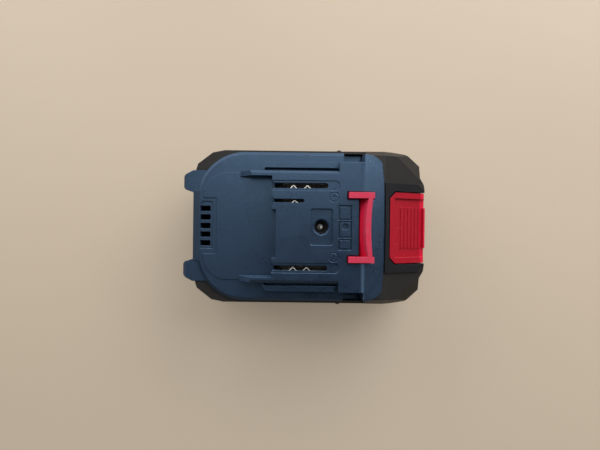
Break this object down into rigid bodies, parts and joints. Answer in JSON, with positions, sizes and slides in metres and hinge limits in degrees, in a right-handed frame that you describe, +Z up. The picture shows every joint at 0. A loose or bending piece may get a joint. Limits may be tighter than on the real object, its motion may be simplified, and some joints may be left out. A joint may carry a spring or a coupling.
{
  "type": "power tool battery pack",
  "caption": "Slide-on lithium battery pack for a cordless power tool, with side rails, bladed contact slots, a round charging jack and a sprung red release latch.",
  "frame": {"origin": "centre of the footprint, on the resting face", "axes": "+X to the latch button, along the pack; +Y across it, to the signal slot's side; +Z up"},
  "size_m": [0.1222, 0.0772, 0.066],
  "materials": {
    "cover_plastic": "satin, fine moulded grain",
    "case_plastic": "satin, fine moulded grain",
    "latch_plastic": "semi-gloss",
    "spring_steel": "drawn wire",
    "cell_sleeve": "shrunk film",
    "holder_plastic": "moulded",
    "nickel_sheet": "plain sheet",
    "board_laminate": "lacquered",
    "contact_metal": "tinned sheet",
    "jack_plastic": "moulded",
    "jack_metal": "plated",
    "chip_resin": "moulded",
    "shunt_alloy": "plain",
    "fuse_ceramic": "glazed",
    "capacitor_can": "drawn can",
    "bead_resin": "dipped",
    "screw_steel": "plated"
  },
  "bodies": {
    "pack": {"top_cover": "cover_plastic", "bottom_case": "case_plastic", "latch_spring_left": "spring_steel", "latch_spring_right": "spring_steel", "cell_1": "cell_sleeve", "cell_2": "cell_sleeve", "cell_3": "cell_sleeve", "cell_4": "cell_sleeve", "cell_5": "cell_sleeve", "cell_6": "cell_sleeve", "cell_7": "cell_sleeve", "cell_8": "cell_sleeve", "cell_9": "cell_sleeve", "cell_10": "cell_sleeve", "left_cell_holder": "holder_plastic", "right_cell_holder": "holder_plastic", "cell_link_1": "nickel_sheet", "cell_link_2": "nickel_sheet", "cell_link_3": "nickel_sheet", "cell_link_4": "nickel_sheet", "cell_link_5": "nickel_sheet", "cell_link_6": "nickel_sheet", "circuit_board": "board_laminate", "positive_terminal": "contact_metal", "negative_terminal": "contact_metal", "signal_terminal": "contact_metal", "jack_housing": "jack_plastic", "jack_pin": "jack_metal", "jack_contact": "jack_metal", "mosfets": "chip_resin", "controller_chip": "chip_resin", "current_shunts": "shunt_alloy", "fuse": "fuse_ceramic", "capacitors": "capacitor_can", "thermistor": "bead_resin", "board_screws": "screw_steel", "case_screws": "screw_steel"},
    "latch": {"latch": "latch_plastic"}
  },
  "joints": [
    {"name": "latch_slide", "type": "slide", "parent": "pack", "child": "latch", "axis": [0, 0, 1], "range_m": [-0.0048, 0], "stiffness_N_per_m": 900, "springref_m": 0.003, "deforming": ["latch_spring_left", "latch_spring_right"]}
  ]
}
